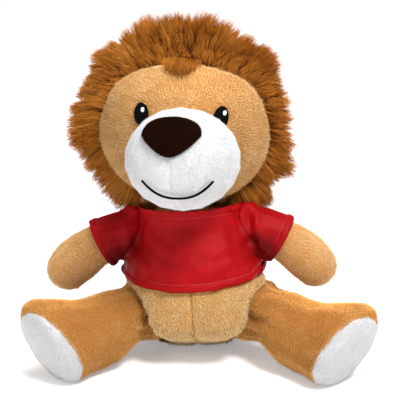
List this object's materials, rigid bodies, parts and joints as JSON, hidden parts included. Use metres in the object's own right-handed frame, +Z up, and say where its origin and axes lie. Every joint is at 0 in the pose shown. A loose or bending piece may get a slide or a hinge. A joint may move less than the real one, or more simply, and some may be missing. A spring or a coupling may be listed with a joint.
{
  "type": "plush lion",
  "caption": "Seated plush lion with a long-pile rust mane, white muzzle and soles, and a red knitted T-shirt.",
  "frame": {"origin": "middle of the flat seat, where the toy rests", "axes": "+Z up, the lion faces -Y, and +X is on the right of somebody who looks at its face"},
  "size_m": [0.224, 0.1659, 0.2204],
  "materials": {
    "belly_plush": "short pile",
    "black_thread": "satin stitch",
    "collar_knit": "smooth knit",
    "face_plush": "short pile",
    "leg_plush": "short pile",
    "mane_fur": "long pile",
    "nose_plush": "short pile",
    "polyester_filling": "fibre",
    "pouch_cloth": "woven",
    "shirt_knit": "smooth knit",
    "tan_plush": "short pile",
    "white_plush": "short pile"
  },
  "bodies": {
    "torso": {"body_front_left": "belly_plush", "body_front_right": "belly_plush", "body_back": "belly_plush", "body_filling": "polyester_filling", "pellet_pouch": "pouch_cloth", "shirt_front": "shirt_knit", "shirt_back": "shirt_knit", "shirt_collar": "collar_knit"},
    "head": {"face_panel": "face_plush", "head_filling": "polyester_filling", "mane_right": "mane_fur", "mane_crown": "mane_fur", "mane_left": "mane_fur", "chin_panel": "face_plush", "mane_back": "mane_fur", "muzzle_left": "white_plush", "muzzle_right": "white_plush", "muzzle_filling": "polyester_filling", "nose": "nose_plush", "mouth_stitching": "black_thread", "eye_left": "black_thread", "eye_right": "black_thread"},
    "arm_left": {"arm_front_left": "tan_plush", "arm_back_left": "tan_plush", "arm_filling_left": "polyester_filling", "sleeve_left": "shirt_knit"},
    "arm_right": {"arm_front_right": "tan_plush", "arm_back_right": "tan_plush", "arm_filling_right": "polyester_filling", "sleeve_right": "shirt_knit"},
    "leg_left": {"leg_inner_left": "leg_plush", "leg_outer_left": "leg_plush", "leg_filling_left": "polyester_filling", "sole_left": "white_plush"},
    "leg_right": {"leg_inner_right": "leg_plush", "leg_outer_right": "leg_plush", "leg_filling_right": "polyester_filling", "sole_right": "white_plush"},
    "tail": {"tail": "tan_plush", "tail_tuft": "mane_fur"}
  },
  "joints": [
    {"name": "head_turn", "type": "hinge", "parent": "torso", "child": "head", "pos_m": [-0.0072, -0.012, 0.09926], "axis": [-0.0523, 0, 0.9986], "range_deg": [-15, 15], "stiffness_Nm_per_rad": 0.6},
    {"name": "arm_left_raise", "type": "hinge", "parent": "torso", "child": "arm_left", "pos_m": [-0.04593, -0.015, 0.07781], "axis": [0, 1, 0], "range_deg": [-3, 20], "stiffness_Nm_per_rad": 0.6},
    {"name": "arm_right_raise", "type": "hinge", "parent": "torso", "child": "arm_right", "pos_m": [0.03356, -0.015, 0.08197], "axis": [0, -1, 0], "range_deg": [-3, 20], "stiffness_Nm_per_rad": 0.6},
    {"name": "leg_left_swing", "type": "hinge", "parent": "torso", "child": "leg_left", "pos_m": [-0.036, -0.026, 0.024], "axis": [0, 0, 1], "range_deg": [-8, 8], "stiffness_Nm_per_rad": 0.8},
    {"name": "leg_right_swing", "type": "hinge", "parent": "torso", "child": "leg_right", "pos_m": [0.036, -0.026, 0.024], "axis": [0, 0, -1], "range_deg": [-8, 8], "stiffness_Nm_per_rad": 0.8},
    {"name": "tail_swing", "type": "hinge", "parent": "torso", "child": "tail", "pos_m": [0, 0.0255, 0.0125], "axis": [0, 0, 1], "range_deg": [-20, 20], "stiffness_Nm_per_rad": 0.05}
  ]
}
